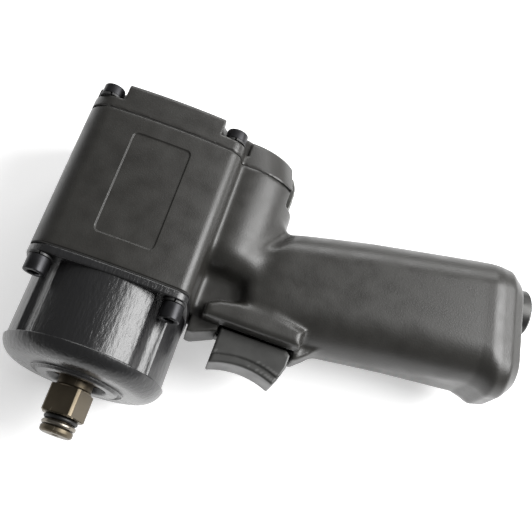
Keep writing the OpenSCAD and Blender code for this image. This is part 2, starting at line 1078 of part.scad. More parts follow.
// Porous felt block in the exhaust chamber
module exhaust_muffler() {
    color("#7b776c")
        lay()
            difference() {
                in_grip()
                    translate([-11.4, -13.1, -156.8])
                        cube([19.3, 26.2, 22.7]);
                in_grip() {
                    for (y = [-8.5, 0, 8.5]) {
                        translate([-8, y - 1.5, -158])
                            cube([12.5, 3, 18]);
                    }
                }
            }
}

motor_housing();
hammer_case();
rear_cover();
front_gasket();
rear_gasket();
front_screws();
front_lock_washers();
rear_screws();
rear_lock_washers();
anvil();
socket_o_ring();
socket_retainer_ring();
anvil_bushing();
hammer_cage();
hammer_pins();
rear_hammer();
front_hammer();
rotor();
rotor_vanes();
cylinder_liner();
rear_end_plate();
front_end_plate();
rear_bearing();
front_bearing();
dowel_pin();
reverse_valve();
reverse_lever();
lever_screw();
detent_ball();
detent_spring();
trigger();
trigger_rod();
trigger_pin();
throttle_bushing();
throttle_valve();
throttle_spring();
inlet_bushing();
inlet_o_ring();
inlet_screen();
exhaust_deflector();
deflector_screws();
exhaust_muffler();
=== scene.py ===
"""Looks of a compact air impact wrench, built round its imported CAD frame.

Shapes are worked out in millimetres in the upright tool's own axes: X forward along the drive, Y to
the tool's left, Z up, with X = 0 on the housing's front face. lay() puts them in the frame, in metres.
"""
import json
import math

import bpy
import numpy as np
from bpy.props import FloatProperty, FloatVectorProperty, PointerProperty
from bpy.types import Operator, Panel, PropertyGroup
from mathutils import Matrix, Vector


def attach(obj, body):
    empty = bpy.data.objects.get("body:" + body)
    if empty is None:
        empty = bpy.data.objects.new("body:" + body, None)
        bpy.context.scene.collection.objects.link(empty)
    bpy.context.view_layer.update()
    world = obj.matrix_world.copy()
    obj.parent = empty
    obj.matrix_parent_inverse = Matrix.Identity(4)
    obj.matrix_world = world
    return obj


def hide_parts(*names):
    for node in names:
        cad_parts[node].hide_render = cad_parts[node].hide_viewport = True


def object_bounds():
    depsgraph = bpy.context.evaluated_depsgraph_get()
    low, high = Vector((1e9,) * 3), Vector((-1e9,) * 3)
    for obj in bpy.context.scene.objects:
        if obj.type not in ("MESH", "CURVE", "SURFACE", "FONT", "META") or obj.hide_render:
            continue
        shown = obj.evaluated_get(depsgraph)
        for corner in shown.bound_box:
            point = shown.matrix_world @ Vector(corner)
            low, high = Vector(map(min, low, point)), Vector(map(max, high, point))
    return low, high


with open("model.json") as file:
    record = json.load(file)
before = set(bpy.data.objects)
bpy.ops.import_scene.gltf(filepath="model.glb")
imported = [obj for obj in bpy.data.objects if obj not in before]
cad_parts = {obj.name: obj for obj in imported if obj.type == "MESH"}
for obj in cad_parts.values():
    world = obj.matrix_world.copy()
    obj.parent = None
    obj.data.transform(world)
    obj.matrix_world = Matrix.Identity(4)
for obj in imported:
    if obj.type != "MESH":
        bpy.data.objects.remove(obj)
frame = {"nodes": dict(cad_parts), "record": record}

CAD_BOX = [list(corner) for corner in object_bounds()]

bl_info = {
    "name": "Air impact wrench",
    "version": (1, 0, 0),
    "blender": (4, 5, 0),
    "location": "3D View > Sidebar > Wrench",
    "description": "Builds the outer castings, fasteners and finishes of a compact air impact wrench",
    "category": "Add Mesh",
}

# Sizes shared with the CAD, in millimetres ------------------------------------------------------

SHOULDER = 41.6                      # origin of the frame along the drive
HEAD_LEN, HEAD_MID, HEAD_TOP = 58.8, 30.7, 32.8
HEAD_BOW = 206.9                     # radius of the head's bulging sides
SCREW_Y, SCREW_TOP, SCREW_LOW = 24.8, 25.6, -24.6
COVER_X, COVER_STEP, COVER_END = -59.3, -63.7, -70.6
LOBE_R, LOBE_Z, VALVE_Z = 21.3, -34.5, -38.0
FLANGE_X, FLANGE_END = 0.5, 3.7
LEAN = math.radians(8.5)
GRIP_END, INLET_U, INLET_R, INLET_END = 159.0, -25.0, 9.6, 165.5
GROOVE_X, TIP_X, TIP_END = 51.8, 56.2, 58.5
CASE_R, FLUTE_R = 30.2, 6.9          # hammer case's wall and the flutes over its screws
SCREW_HEAD_R, SCREW_WELL_R = 4.15, 5.6
SQUARE_HALF, SQUARE_CORNER = 6.35, 8.3
JAW_HALF, JAW_REACH = 4.4, 13.4      # the bar that the hammers strike
PADDLE_IN, PADDLE_OUT = 13.4, 16.5   # the reverse paddle's radii round the valve's axis
PADDLE_ROOM = (13, 30)               # radii of the space that it swings in
TRIGGER_HALF = 8.2

# The grip's cross-sections: distance along the grip, rear, front, half-width, corner radius
GRIP = np.array([
    [30.0, -30.0, 8.0, 13.5, 10.0],
    [47.0, -31.5, 8.6, 15.3, 11.0],
    [60.0, -35.2, 10.0, 17.4, 13.0],
    [95.0, -38.3, 10.3, 19.0, 14.0],
    [141.0, -40.0, 10.9, 20.9, 14.0],
    [145.5, -40.3, 12.8, 21.2, 14.0],
    [148.5, -40.5, 14.8, 20.6, 14.0],
    [154.0, -39.6, 14.2, 18.6, 12.5],
    [159.0, -35.0, 9.4, 15.0, 10.0],
    [170.0, -24.9, -1.2, 4.0, 4.0],
])


def linear(code):
    """Linear red, green and blue from an sRGB hex colour such as #45443f."""
    parts = [int(code[k:k + 2], 16) / 255 for k in (1, 3, 5)]
    return tuple(c / 12.92 if c <= 0.04045 else ((c + 0.055) / 1.055) ** 2.4 for c in parts)


# Frame and mesh helpers -------------------------------------------------------------------------

def lay(x, y, z):
    """Upright millimetres to the frame's metres: (x - shoulder, -z, y) / 1000."""
    x, y, z = np.broadcast_arrays(x, y, z)
    return np.stack([x - SHOULDER, -z, y], -1).reshape(-1, 3) / 1000


def from_grip(u, y, w):
    """Grip coordinates (across, sideways, along) to upright x, y, z, turned by the lean."""
    return u * math.cos(LEAN) - w * math.sin(LEAN), y, -u * math.sin(LEAN) - w * math.cos(LEAN)


def to_grip(x, z):
    """Upright x, z to the grip's u across and w along."""
    return x * math.cos(LEAN) - z * math.sin(LEAN), -x * math.sin(LEAN) - z * math.cos(LEAN)


def turned_out(points, faces):
    """The faces with their sides flipped when the signed volume of the closed mesh is negative."""
    a, b, c = (points[faces[:, k]] for k in range(3))
    volume = np.einsum("ij,ij->i", a, np.cross(b, c)).sum()
    return faces if volume > 0 else faces[:, ::-1]


def loft(x, y, z, closed_ends=True):
    """Closed surface over a grid of rings: row s is one ring, column t goes round it.
    Point (s, t) joins (s + 1, t) and (s, t + 1), and a fan closes each end on its ring's middle."""
    rows, cols = np.broadcast(x, y, z).shape
    points = lay(x, y, z)
    s, t = np.meshgrid(np.arange(rows - 1), np.arange(cols), indexing="ij")
    a, b = s * cols + t, s * cols + (t + 1) % cols
    quads = np.stack([a, b, b + cols, a + cols], -1).reshape(-1, 4)
    faces = [quads[:, [0, 1, 2]], quads[:, [0, 2, 3]]]
    if closed_ends:
        ring = np.arange(cols)
        after = (ring + 1) % cols
        last = (rows - 1) * cols
        middles = [points[:cols].mean(0), points[last:].mean(0)]
        faces.append(np.stack([after, ring, np.full(cols, len(points))], -1))
        faces.append(np.stack([last + ring, last + after, np.full(cols, len(points) + 1)], -1))
        points = np.concatenate([points, middles])
    faces = np.concatenate(faces)
    return points, turned_out(points, faces)


def swept(path, side, up, section):
    """Closed ring or bar: every point p of the path carries the section, p + a side + b up,
    where (a, b) runs round the section."""
    grid = (path[:, None, :] + section[None, :, 0, None] * side[:, None, :]
            + section[None, :, 1, None] * up[:, None, :])
    return loft(grid[..., 0], grid[..., 1], grid[..., 2])


def net(field, low, high, step):
    """Closed surface where field(x, y, z) is zero, for blended castings that no single grid of two
    parameters covers. One vertex stands in each cell that the surface passes, at the mean of its
    crossings of the cell's edges, and one quad goes round each grid edge that it crosses. Each
    vertex then slides along the field's slope on to the surface."""
    axes = [np.arange(a, b + step, step) for a, b in zip(low, high)]
    grid = np.meshgrid(*axes, indexing="ij", sparse=True)
    f = np.broadcast_to(field(*grid), [len(a) for a in axes]).astype(np.float32)
    size = [n - 1 for n in f.shape]
    total, place = np.zeros(size, np.float32), np.zeros([3] + size, np.float32)
    corner = [slice(0, -1), slice(1, None)]
    for axis in range(3):
        others = [(axis + 1) % 3, (axis + 2) % 3]
        for i in (0, 1):
            for j in (0, 1):
                near, far = [None] * 3, [None] * 3
                near[axis], far[axis] = corner
                near[others[0]] = far[others[0]] = corner[i]
                near[others[1]] = far[others[1]] = corner[j]
                f0, f1 = f[tuple(near)], f[tuple(far)]
                crossed = (f0 < 0) != (f1 < 0)
                part = np.where(crossed, f0 / np.where(crossed, f0 - f1, 1), 0)
                total += crossed
                place[axis] += part
                place[others[0]] += crossed * i
                place[others[1]] += crossed * j
    cells = np.argwhere(total > 0)
    index = np.full(size, -1, np.int64)
    index[tuple(cells.T)] = np.arange(len(cells))
    at = tuple(cells.T)
    points = np.array(low) + step * (cells + (place[(slice(None),) + at] / total[at]).T)
    quads = []
    for axis in range(3):
        b, c = (axis + 1) % 3, (axis + 2) % 3
        near, far = [slice(None)] * 3, [slice(None)] * 3
        near[axis], far[axis] = corner
        for n in (b, c):
            near[n] = far[n] = slice(1, -1)
        inside, beyond = f[tuple(near)] < 0, f[tuple(far)] < 0
        found = np.argwhere(inside != beyond)
        outward = inside[tuple(found.T)]
        found[:, b] += 1
        found[:, c] += 1
        step_b, step_c = np.eye(3, dtype=int)[b], np.eye(3, dtype=int)[c]
        corners = ((0, 0), (1, 0), (1, 1), (0, 1))
        ring = [index[tuple((found - k * step_b - m * step_c).T)] for k, m in corners]
        ring = np.stack(ring, -1)
        quads.append(np.where(outward[:, None], ring, ring[:, ::-1]))
    quads = np.concatenate(quads)
    slide = 0.02
    for _ in range(3):
        x, y, z = points.T
        here = field(x, y, z)
        slope = np.stack([field(x + slide, y, z) - field(x - slide, y, z),
                          field(x, y + slide, z) - field(x, y - slide, z),
                          field(x, y, z + slide) - field(x, y, z - slide)], -1) / (2 * slide)
        move = here[:, None] * slope / np.maximum((slope ** 2).sum(-1), 0.1)[:, None]
        points = points - np.clip(move, -0.3 * step, 0.3 * step)
    points = lay(*points.T)
    faces = np.concatenate([quads[:, [0, 1, 2]], quads[:, [0, 2, 3]]])
    return points, turned_out(points, faces)


def piece(name, parts, body, slot_name, replaced, sharp=40.0):
    """One mesh object from (points, faces) parts, smooth but for edges sharper than the angle,
    riding on a body in place of its CAD nodes."""
    starts = np.cumsum([0] + [len(p) for p, _ in parts])
    points = np.concatenate([p for p, _ in parts])
    faces = np.concatenate([f + s for (_, f), s in zip(parts, starts)])
    mesh = bpy.data.meshes.new(name)
    mesh.vertices.add(len(points))
    mesh.vertices.foreach_set("co", points.astype(np.float32).ravel())
    mesh.loops.add(faces.size)
    mesh.loops.foreach_set("vertex_index", faces.astype(np.int32).ravel())
    mesh.polygons.add(len(faces))
    mesh.polygons.foreach_set("loop_start", np.arange(0, faces.size, 3, dtype=np.int32))
    mesh.update(calc_edges=True)
    mesh.validate()
    mesh.polygons.foreach_set("use_smooth", np.ones(len(mesh.polygons), bool))
    if sharp:
        mesh.set_sharp_from_angle(angle=math.radians(sharp))
    mesh.materials.append(finish(slot_name))
    thing = bpy.data.objects.new(name, mesh)
    bpy.context.scene.collection.objects.link(thing)
    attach(thing, body)
    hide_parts(*replaced)
    return thing


# Shape functions --------------------------------------------------------------------------------

def melt(a, b, width):
    """Union of two fields with a fillet: the lesser of the two, lowered where they are closer
    than the width by width h (1 - h), where h is their share."""
    h = np.clip(0.5 + 0.5 * (b - a) / width, 0, 1)
    return b * (1 - h) + a * h - width * h * (1 - h)


def cut(a, b, width=0.4):
    """The first field without the second, with the edge rounded by the width."""
    return -melt(-a, b, width)


def both(a, b, width=0.4):
    """The space that two fields share, with the edge rounded by the width."""
    return -melt(-a, -b, width)


def rounded_box(dx, dy, r):
    """Distance from a rectangle with corner radius r, where dx and dy are how far a point lies
    outside its sides: length of the positive parts, less r."""
    qx, qy = dx + r, dy + r
    return np.hypot(np.maximum(qx, 0), np.maximum(qy, 0)) + np.minimum(np.maximum(qx, qy), 0) - r


def slab(v, low, high):
    """How far v lies outside the span from low to high, negative inside."""
    return np.maximum(low - v, v - high)


def side_profile(x, z, corners):
    """A convex profile in X and Z: the greatest distance outside any of its sides."""
    corners = np.array(corners, float)
    middle = corners.mean(0)
    ahead = np.roll(corners, -1, 0) - corners
    out = np.stack([ahead[:, 1], -ahead[:, 0]], -1) / np.linalg.norm(ahead, axis=1)[:, None]
    out *= np.sign(((corners - middle) * out).sum(1))[:, None]
    found = None
    for (px, pz), (nx, nz) in zip(corners, out):
        away = (x - px) * nx + (z - pz) * nz
        found = away if found is None else np.maximum(found, away)
    return found


def outline(y, z, inset=0.0):
    """Distance from the head's outline: a rectangle with corner radius 8 above and 4 below, whose
    half-width at height z is mid - z^2 / (2 bow), and its height at y is top - y^2 / (2 bow)."""
    r = np.where(z > 0, 8.0, 4.0)
    wide = HEAD_MID - z * z / (2 * HEAD_BOW)
    tall = np.where(z > 0, HEAD_TOP, HEAD_MID) - y * y / (2 * HEAD_BOW)
    return rounded_box(np.abs(y) - wide, np.abs(z) - tall, r) + inset


def outline_radius(angle, inset):
    """Distance of the head's outline from the drive axis at an angle, found by halving."""
    shape = np.broadcast(angle, inset).shape
    low, high = np.full(shape, 15.0), np.full(shape, 50.0)
    for _ in range(40):
        half = (low + high) / 2
        outside = outline(half * np.cos(angle), half * np.sin(angle), inset) > 0
        low, high = np.where(outside, low, half), np.where(outside, half, high)
    return (low + high) / 2


def softened(corners):
    """A profile from corners (along, radius, round-off): each corner gives way to five points of
    the curve (1-t)^2 a + 2 t (1-t) corner + t^2 b between points a and b on its two sides."""
    corners = np.array(corners, float)
    places, rounds = corners[:, :2], corners[:, 2]
    found = [places[:1]]
    t = np.linspace(0, 1, 6)[:, None]
    for k in range(1, len(places) - 1):
        if rounds[k] == 0:
            found.append(places[k:k + 1])
            continue
        ends = []
        for other in (places[k - 1], places[k + 1]):
            gap = other - places[k]
            reach = np.linalg.norm(gap)
            ends.append(places[k] + gap * min(rounds[k], 0.49 * reach) / reach)
        found.append((1 - t) ** 2 * ends[0] + 2 * t * (1 - t) * places[k] + t ** 2 * ends[1])
    found.append(places[-1:])
    return np.concatenate(found).T


def grip_sizes(w):
    """The grip's cross-section at distance w: the table's values read straight between its rows and
    averaged over a few millimetres, less near the base so that its creases stay."""
    spread = np.where(w < 134, 4.0, 0.7)
    shifts = [-1.0, -0.5, 0.0, 0.5, 1.0]
    return [sum(np.interp(w + s * spread, GRIP[:, 0], GRIP[:, k]) for s in shifts) / 5 for k in range(1, 5)]


def grip_field(x, y, z):
    """The grip's swept cross-section, a rounded rectangle whose sizes change along it. Its front
    corners are rounder than its rear ones by up to 3.5 mm, fading out towards the base."""
    u, w = to_grip(x, z)
    rear, front, half, r = grip_sizes(w)
    rounder = np.minimum(r + 3.5 * np.clip((140 - w) / 30, 0, 1), half - 0.3)
    r = np.where(u > (rear + front) / 2, rounder, r)
    body = both(rounded_box(slab(u, rear, front), np.abs(y) - half, r), slab(w, 34.0, GRIP_END), 0.8)
    # Its flanks end in a round shoulder that rises from the rear and falls again towards the collar
    shoulder = side_profile(x, z, [[-52, -66.2], [-28, -47.4], [-23.5, -45.2], [-9.6, -48.5], [14, -58],
                                   [14, -170], [-75, -170], [-75, -90]])
    return both(body, shoulder, 4.0)


def paddle_field(x, y, z):
    """The wedge-shaped space under the lobe in which the reverse lever swings. Its outer radius
    keeps it off the grip, which reaches as far back lower down."""
    away = np.hypot(y, z - VALVE_Z)
    wedge = (np.abs(y) + (z - VALVE_Z) * 30 / 34) * 34 / math.hypot(30, 34)
    return np.maximum(np.maximum(slab(x, -80, -53), slab(away, *PADDLE_ROOM)), wedge)


def lower_casting(x, y, z):
    """The housing below the head: lobe, neck and grip with fillets, the trigger's collar with its
    hood and lip, less the trigger's pocket, the lever's space and the seats in the grip's base."""
    lobe = rounded_box(np.hypot(y, z - LOBE_Z) - LOBE_R, x + 17.0, 9.5)
    neck = both(side_profile(x, z, [[-44, -20], [0, -20], [0, -70], [-40.5, -61], [-43, -54]]),
                np.abs(y) - 9.6, 3.0)
    grip = grip_field(x, y, z)
    body = melt(melt(grip, neck, 6.0), lobe, 5.0)
    collar = both(side_profile(x, z, [[-7.6, -47], [-6, -39.5], [-3.5, -35.2], [1.5, -35.2],
                                      [1.5, -73.6], [-5.4, -73.6], [-7.6, -60]]), np.abs(y) - 16.4, 3.2)
    body = melt(body, collar, 2.6)
    u, w = to_grip(x, z)
    in_front = np.maximum(1.5 - x, slab(z, -72.8, -30.9))
    body = cut(body, in_front, 0.3)
    hood = both(side_profile(x, z, [[-6, -31.4], [8.6, -31.4], [7.4, -34], [7.2, -42.6], [-6, -42.6]]),
                np.abs(y) - 8.0, 0.8)
    lip = both(side_profile(x, z, [[-4, -72.8], [3.8, -72.8], [4.4, -73.8], [3, -75.6], [0, -79], [-4, -82]]),
               np.abs(y) - 7.0, 1.5)
    body = melt(melt(body, hood, 0.8), lip, 2.0)
    head = np.maximum(outline(y, z, 0.12), slab(x, -HEAD_LEN + 0.4, -0.4))
    body = melt(body, head, 3.0)
    pocket = np.maximum(np.maximum(slab(x, -5.2, 6.8), np.abs(y) - 8.6), slab(z, -72.3, -42.7))
    body = cut(body, pocket, 0.5)
    body = cut(body, paddle_field(x, y, z), 0.6)
    seat = np.maximum(rounded_box(slab(u, -33.2, 7.4), np.abs(y) - 13.0, 8.2), 156.9 - w)
    inlet = np.maximum(np.hypot(u - INLET_U, y) - INLET_R - 0.05, slab(w, 141, 200))
    body = cut(cut(body, seat, 0.4), inlet, 0.3)
    return both(body, np.maximum(-HEAD_LEN - x, z + 18.0), 0.3)


def cover_field(x, y, z):
    """The rear cover: the head's outline and a leaning cone behind the lobe, less the room over the
    four screw heads and the lever's space."""
    plate = both(outline(y, z), slab(x, COVER_END, COVER_X + 3), 1.6)
    lean = math.radians(15)
    along = -(x - COVER_X) * math.cos(lean) + (z - LOBE_Z) * math.sin(lean)
    across = (x - COVER_X) * math.sin(lean) + (z - LOBE_Z) * math.cos(lean)
    cone = np.hypot(y, across) - (LOBE_R + 0.9 - 3.0 * (along + 8) / 24)
    cone = both(cone, slab(x, COVER_END, COVER_X + 3), 1.6)
    body = melt(plate, cone, 2.0)
    for cz, sign in ((SCREW_TOP, 1), (SCREW_LOW, -1)):
        ay = np.abs(y)
        well = np.hypot(ay - SCREW_Y, z - cz) - SCREW_WELL_R
        if sign > 0:
            span = slab(z, cz - SCREW_WELL_R, cz + 30)
        else:
            span = slab(z, cz - 6.5, cz + SCREW_WELL_R)
        out_y = np.maximum(SCREW_Y - ay, span)
        out_z = np.maximum(SCREW_Y - SCREW_WELL_R - ay, cz - z if sign > 0 else slab(z, cz - 6.5, cz))
        room = np.maximum(np.minimum(np.minimum(well, out_y), out_z), x - COVER_STEP)
        body = cut(body, room, 0.7)
    hub = np.maximum(np.hypot(y, z - VALVE_Z) - 12.4, -67.7 - x)
    body = cut(cut(body, hub, 0.3), paddle_field(x, y, z), 0.6)
    return both(body, x - COVER_X, 0.25)


def trigger_field(x, y, z):
    """The trigger: its side profile, hollowed in front by a round of radius 32.4."""
    side = side_profile(x, z, [[2, -43.6], [15.4, -43.2], [16.8, -44], [16.8, -67.8], [15.8, -69.2],
                               [14, -69.8], [10.6, -71.6], [3.4, -71.8], [2, -70]])
    body = cut(side, np.hypot(x - 46, z + 55.7) - 32.4, 0.6)
    # Each flank steps in along the hollowed front, which leaves a narrower finger pad
    rim = np.maximum(np.hypot(x - 46, z + 55.7) - 35.6, 7.4 - np.abs(y))
    return both(cut(body, rim, 1.2), np.abs(y) - TRIGGER_HALF, 0.7)


def lever_field(x, y, z):
    """The reverse lever: a hub round the valve's axis and a curved paddle with thumb grooves."""
    away = np.hypot(y, z - VALVE_Z)
    hub = rounded_box(away - 11.6, slab(x, -67.3, -60.0), 0.4)
    web = np.maximum(np.maximum(away - 14.5, slab(x, -67.3, -60.0)), np.maximum(np.abs(y) - 3, z - VALVE_Z))
    paddle = np.maximum(slab(away, PADDLE_IN, PADDLE_OUT), slab(x, -70.2, -54))
    paddle = both(paddle, np.hypot(x + 60, z - VALVE_Z - 2) - 18.5, 0.8)
    paddle = both(paddle, (np.abs(y) + (z - VALVE_Z) * 5.8 / 25) * 25 / math.hypot(5.8, 25), 0.8)
    for at in (-66.6, -63.9, -61.2, -58.5, -55.8):
        paddle = cut(paddle, np.hypot(x - at, z - VALVE_Z + 16.9) - 1.05, 0.3)
    body = melt(melt(hub, web, 1.0), paddle, 0.8)
    return cut(body, np.maximum(away - 4.6, -61 - x - 4.4), 0.3)


def deflector_field(u, y, w):
    """The exhaust deflector: a rounded plate with three slots and a round hole for the inlet."""
    plate = both(rounded_box(slab(u, -33.0, 7.2), np.abs(y) - 12.8, 8.0), slab(w, 157.0, 158.9), 0.35)
    plate = cut(plate, np.hypot(u - INLET_U, y) - INLET_R - 0.15, 0.3)
    for k in range(3):
        slot = rounded_box(np.abs(u + 7.5 - 4.6 * k) - 1.1, np.abs(y) - 9.5, 1.05)
        plate = cut(plate, slot, 0.3)
    return plate


# Finishes ---------------------------------------------------------------------------------------

# One row per finish of the record: name, colour, darker second colour, metallic, roughness from and to,
# grain in mm, height of the grain in mm, coat, worn-edge share
FINISHES = {
    # Powder paint over die-cast aluminium: satin, faint orange peel, slightly rubbed along edges
    "housing_paint": ("powder_painted_aluminium", "#2b2a27", "#21201e", 0.0, 0.34, 0.46, 0.6, 0.055,
                      0.10, 0.3),
    # Black enamel sprayed over a rough sand-cast case: glossier, its skin wrinkled in streaks
    "case_paint": ("enamelled_sand_casting", "#1b1b1c", "#121213", 0.0, 0.24, 0.38, 1.5, 0.30, 0.4, 0.25),
    # Pressed fibre sheet with a rubber binder: matt and speckled
    "gasket": ("pressed_fibre_sheet", "#1c1b19", "#141312", 0.0, 0.7, 0.9, 0.5, 0.02, 0.0, 0.0),
    # Black oxide on alloy steel screws: dark, slightly oily metal
    "black_oxide": ("black_oxide_steel", "#3a3a3c", "#29292b", 0.85, 0.32, 0.5, 0.5, 0.006, 0.0, 0.5),
    # Phosphated spring steel of the split washers: duller than the screws
    "washer_steel": ("phosphated_spring_steel", "#3f3f40", "#2c2c2d", 0.8, 0.4, 0.6, 0.4, 0.006, 0.0, 0.4),
    # Oiled phosphate over forged steel: brown-grey with bright rubbed corners
    "drive_steel": ("oiled_phosphate_steel", "#6f6656", "#4a4338", 0.9, 0.3, 0.5, 0.8, 0.012, 0.0, 0.8),
    # Moulded nitrile rubber of the O-rings: black satin
    "rubber_black": ("moulded_nitrile_rubber", "#151515", "#0e0e0e", 0.0, 0.4, 0.55, 0.4, 0.004, 0.0, 0.0),
    # Bright drawn spring wire of the socket's ring
    "ring_steel": ("bright_drawn_wire", "#9a948a", "#6f6a62", 1.0, 0.25, 0.4, 0.3, 0.003, 0.0, 0.3),
    # Turned bronze bushings: warm, fine lathe lines
    "bronze": ("turned_bronze", "#a5804a", "#7d5d33", 1.0, 0.3, 0.42, 0.4, 0.005, 0.0, 0.3),
    # Machined and hardened hammer steel: brown heat tint
    "hammer_steel": ("hardened_steel", "#625e55", "#45413a", 0.95, 0.32, 0.5, 0.6, 0.008, 0.0, 0.4),
    # Ground bearing and motor steel: bright and smooth
    "ground_steel": ("ground_steel_bright", "#9a9994", "#7c7b77", 1.0, 0.18, 0.3, 0.3, 0.002, 0.0, 0.2),
    # Sawn cotton-filled resin vanes: warm brown, fibrous
    "vane_resin": ("sawn_resin_cloth", "#7a5a34", "#5c4226", 0.0, 0.5, 0.7, 0.3, 0.02, 0.0, 0.1),
    # Die-cast zinc lever with a satin finish
    "lever_metal": ("die_cast_zinc", "#6e6e6b", "#4d4d4b", 0.7, 0.34, 0.5, 0.5, 0.01, 0.0, 0.5),
    # Drawn spring wire
    "spring_steel": ("drawn_spring_wire", "#8f8f8c", "#6c6c69", 1.0, 0.25, 0.4, 0.3, 0.003, 0.0, 0.2),
    # Moulded glass-filled nylon trigger: satin with a fine spark-eroded grain
    "trigger_plastic": ("moulded_nylon_grained", "#3b3b39", "#2f2f2e", 0.0, 0.34, 0.48, 0.6, 0.012, 0.1, 0.3),
    # Turned steel inlet bushing, dark phosphate
    "inlet_steel": ("turned_phosphated_steel", "#4b4b4a", "#353534", 0.85, 0.32, 0.5, 0.5, 0.006, 0.0, 0.5),
    # Woven brass wire
    "screen_brass": ("woven_brass_wire", "#b9b5a4", "#8d8976", 1.0, 0.3, 0.45, 0.3, 0.01, 0.0, 0.2),
    # Moulded nylon deflector: matt black
    "deflector_plastic": ("moulded_nylon_matt", "#242424", "#1b1b1b", 0.0, 0.5, 0.65, 0.5, 0.012, 0.0, 0.2),
    # Pressed wool felt: fibrous and matt
    "felt": ("pressed_wool_felt", "#7b776c", "#5f5b52", 0.0, 0.9, 1.0, 0.4, 0.12, 0.0, 0.0),
}
# Worn edges show the metal or plastic under the finish
WORN = {"housing_paint": "#8f8e8a", "case_paint": "#707072", "drive_steel": "#b3aa98",
        "black_oxide": "#8a8a8c"}


def add(tree, kind, settings, **links):
    """Adds a node, sets its properties and input values, and links the named inputs."""
    made = tree.nodes.new(kind)
    for key, value in settings.items():
        if isinstance(key, str) and hasattr(made, key):
            setattr(made, key, value)
        else:
            made.inputs[key].default_value = value
    for key, source in links.items():
        tree.links.new(source, made.inputs[key.replace("_", " ")])
    return made


def finish(slot_name):
    """The procedural material of one finish: two tones mixed by cloudy noise, roughness that drifts
    with it, fine grain as bump, and lighter worn edges where the surface is sharply convex."""
    name, first, second, metallic, smooth, rough, grain, height, coat, wear = FINISHES[slot_name]
    if name in bpy.data.materials:
        return bpy.data.materials[name]
    colours = bpy.context.scene.wrench_finishes
    if hasattr(colours, slot_name):
        tone = tuple(getattr(colours, slot_name))
    else:
        tone = linear(first)
    material = bpy.data.materials.new(name)
    material.use_nodes = True
    tree = material.node_tree
    shader = tree.nodes["Principled BSDF"]
    shader.inputs["Metallic"].default_value = metallic
    shader.inputs["Coat Weight"].default_value = coat
    shader.inputs["Coat Roughness"].default_value = 0.28
    place = add(tree, "ShaderNodeTexCoord", {}).outputs["Object"]
    stretched = place
    if slot_name == "case_paint":
        # Streaks run along the drive, so the pattern is drawn out along X
        stretched = add(tree, "ShaderNodeMapping", {"Scale": (0.35, 1.0, 1.0)}, Vector=place).outputs[0]
    cloud = add(tree, "ShaderNodeTexNoise", {"Scale": 1000 / (grain * 12), "Detail": 3.0}, Vector=stretched)
    fine = add(tree, "ShaderNodeTexNoise", {"Scale": 1000 / grain, "Detail": 4.0, "Roughness": 0.55},
               Vector=stretched)
    tones = add(tree, "ShaderNodeMix", {"data_type": "RGBA", 6: (*linear(second), 1), 7: (*tone, 1)})
    tree.links.new(cloud.outputs["Fac"], tones.inputs[0])
    colour = tones.outputs[2]
    if wear:
        bare = WORN.get(slot_name, "#8c8c8a")
        edge = add(tree, "ShaderNodeMapRange", {"From Min": 0.53, "From Max": 0.62, "To Max": wear},
                   Value=add(tree, "ShaderNodeNewGeometry", {}).outputs["Pointiness"])
        rubbed = add(tree, "ShaderNodeMath", {"operation": "MULTIPLY"})
        tree.links.new(edge.outputs[0], rubbed.inputs[0])
        tree.links.new(cloud.outputs["Fac"], rubbed.inputs[1])
        worn = add(tree, "ShaderNodeMix", {"data_type": "RGBA", 7: (*linear(bare), 1)})
        tree.links.new(rubbed.outputs[0], worn.inputs[0])
        tree.links.new(colour, worn.inputs[6])
        colour = worn.outputs[2]
    tree.links.new(colour, shader.inputs["Base Color"])
    spread = {"From Min": 0.3, "From Max": 0.7, "To Min": smooth, "To Max": rough}
    drift = add(tree, "ShaderNodeMapRange", spread, Value=cloud.outputs["Fac"])
    tree.links.new(drift.outputs[0], shader.inputs["Roughness"])
    relief = {"Strength": 1.0, "Distance": height / 1000}
    bump = add(tree, "ShaderNodeBump", relief, Height=fine.outputs["Fac"])
    tree.links.new(bump.outputs[0], shader.inputs["Normal"])
    return material


# Settings ---------------------------------------------------------------------------------------

class WrenchSizes(PropertyGroup):
    """Sizes that a user may change."""
    panel_depth: FloatProperty(name="Panel depth", description="Depth of the head's plain side panels",
                               default=0.0005, unit="LENGTH")
    panel_edge: FloatProperty(name="Panel edge", description="Width of the panels' sloping edge",
                              default=0.0005, unit="LENGTH")
    head_edge: FloatProperty(name="Head edge", description="Round-off of the head's end faces",
                             default=0.0005, unit="LENGTH")
    casting_step: FloatProperty(name="Casting step", description="Mesh spacing of the blended castings",
                                default=0.00078, unit="LENGTH")
    small_step: FloatProperty(name="Small step", description="Mesh spacing of the small blended pieces",
                              default=0.0004, unit="LENGTH")
    floor_size: FloatProperty(name="Floor size", description="Width of the studio floor",
                              default=6.0, unit="LENGTH")


class WrenchFinishes(PropertyGroup):
    """Colours that a user may change."""
    housing_paint: FloatVectorProperty(name="Housing", description="Powder paint of the housing",
                                       subtype="COLOR", default=linear("#2b2a27"))
    case_paint: FloatVectorProperty(name="Hammer case", description="Enamel of the hammer case",
                                    subtype="COLOR", default=linear("#1b1b1c"))
    drive_steel: FloatVectorProperty(name="Square drive", description="Phosphate of the square drive",
                                     subtype="COLOR", default=linear("#6f6656"))
    trigger_plastic: FloatVectorProperty(name="Trigger", description="Moulded plastic of the trigger",
                                         subtype="COLOR", default=linear("#3b3b39"))
    floor: FloatVectorProperty(name="Floor", description="Studio floor", subtype="COLOR",
                               default=linear("#f4f4f4"))


def sizes(name):
    """A size of the settings in millimetres."""
    return getattr(bpy.context.scene.wrench_sizes, name) * 1000


# Pieces -----------------------------------------------------------------------------------------

